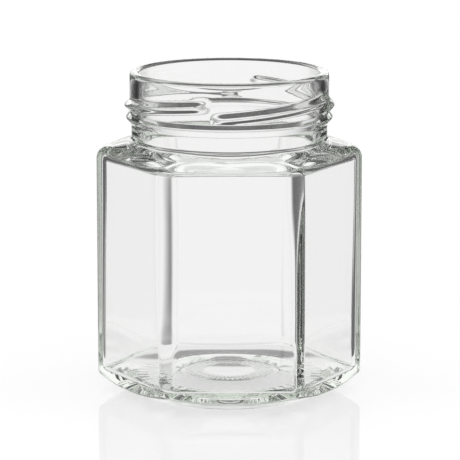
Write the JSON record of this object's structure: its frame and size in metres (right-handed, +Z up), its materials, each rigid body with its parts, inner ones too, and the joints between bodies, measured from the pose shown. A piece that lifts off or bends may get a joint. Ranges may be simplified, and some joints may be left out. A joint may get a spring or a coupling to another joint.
{
  "type": "hexagonal glass jar",
  "caption": "Empty hexagonal glass jar for food, with a low shoulder, a round neck, short screw threads, a bead ring and a rounded open rim.",
  "frame": {"origin": "on the jar's axis, at the level it stands on", "axes": "+Z up along the jar's axis; a flat side faces -Y, and two upright edges of the hexagon point along +X and -X"},
  "size_m": [0.079, 0.0696, 0.0968],
  "materials": {
    "clear_glass": "clear, fire polished, with a trace of green in the thick places"
  },
  "bodies": {
    "root": {"jar": "clear_glass"}
  },
  "joints": []
}
